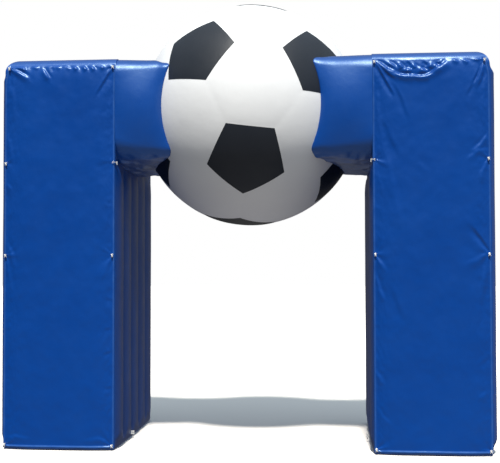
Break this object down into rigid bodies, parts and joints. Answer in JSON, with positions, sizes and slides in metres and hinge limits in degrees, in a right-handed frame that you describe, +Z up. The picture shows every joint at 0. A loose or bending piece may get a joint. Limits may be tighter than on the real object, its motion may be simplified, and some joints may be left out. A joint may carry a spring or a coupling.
{
  "type": "inflatable football arch",
  "caption": "Inflatable walk-through arch: two tall blue ribbed legs, short rounded arms and a large black-and-white football held between them.",
  "frame": {"origin": "on the ground, midway between the legs and below the middle of the ball", "axes": "+X along the arch to the right as seen from the banner side, +Y from the banner side to the back, +Z up"},
  "size_m": [5.04, 2.403, 4.7145],
  "materials": {
    "blue_skin": "royal blue coated cloth, semi-gloss, with welded seams between the cells",
    "blue_banner": "royal blue coated cloth, semi-gloss, loose and creased at its ties",
    "white_skin": "white coated cloth, satin",
    "black_skin": "charcoal black coated cloth, satin",
    "ring_metal": "bright plated metal",
    "white_cord": "white braided cord",
    "white_webbing": "white woven webbing"
  },
  "bodies": {
    "root": {"ball": "white_skin", "dark_panel_00": "black_skin", "dark_panel_01": "black_skin", "dark_panel_02": "black_skin", "dark_panel_03": "black_skin", "dark_panel_04": "black_skin", "dark_panel_05": "black_skin", "dark_panel_06": "black_skin", "dark_panel_07": "black_skin", "dark_panel_08": "black_skin", "dark_panel_09": "black_skin", "dark_panel_10": "black_skin", "dark_panel_11": "black_skin", "eyelet_left_inner_arm": "blue_skin", "eyelet_left_inner_foot": "ring_metal", "eyelet_left_inner_top": "ring_metal", "eyelet_left_inner_waist": "ring_metal", "eyelet_left_outer_arm": "blue_skin", "eyelet_left_outer_foot": "ring_metal", "eyelet_left_outer_top": "ring_metal", "eyelet_left_outer_waist": "ring_metal", "eyelet_right_inner_arm": "blue_skin", "eyelet_right_inner_foot": "ring_metal", "eyelet_right_inner_top": "ring_metal", "eyelet_right_inner_waist": "ring_metal", "eyelet_right_outer_arm": "blue_skin", "eyelet_right_outer_foot": "ring_metal", "eyelet_right_outer_top": "ring_metal", "eyelet_right_outer_waist": "ring_metal", "left_arm": "blue_skin", "left_banner": "blue_banner", "left_ground_ring": "ring_metal", "left_ground_tab": "white_webbing", "left_leg": "blue_skin", "right_arm": "blue_skin", "right_banner": "blue_banner", "right_ground_ring": "ring_metal", "right_ground_tab": "white_webbing", "right_leg": "blue_skin", "tie_left_inner_arm": "blue_skin", "tie_left_inner_foot": "white_cord", "tie_left_inner_top": "white_cord", "tie_left_inner_waist": "white_cord", "tie_left_outer_arm": "blue_skin", "tie_left_outer_foot": "white_cord", "tie_left_outer_top": "white_cord", "tie_left_outer_waist": "white_cord", "tie_right_inner_arm": "blue_skin", "tie_right_inner_foot": "white_cord", "tie_right_inner_top": "white_cord", "tie_right_inner_waist": "white_cord", "tie_right_outer_arm": "blue_skin", "tie_right_outer_foot": "white_cord", "tie_right_outer_top": "white_cord", "tie_right_outer_waist": "white_cord"}
  },
  "joints": []
}
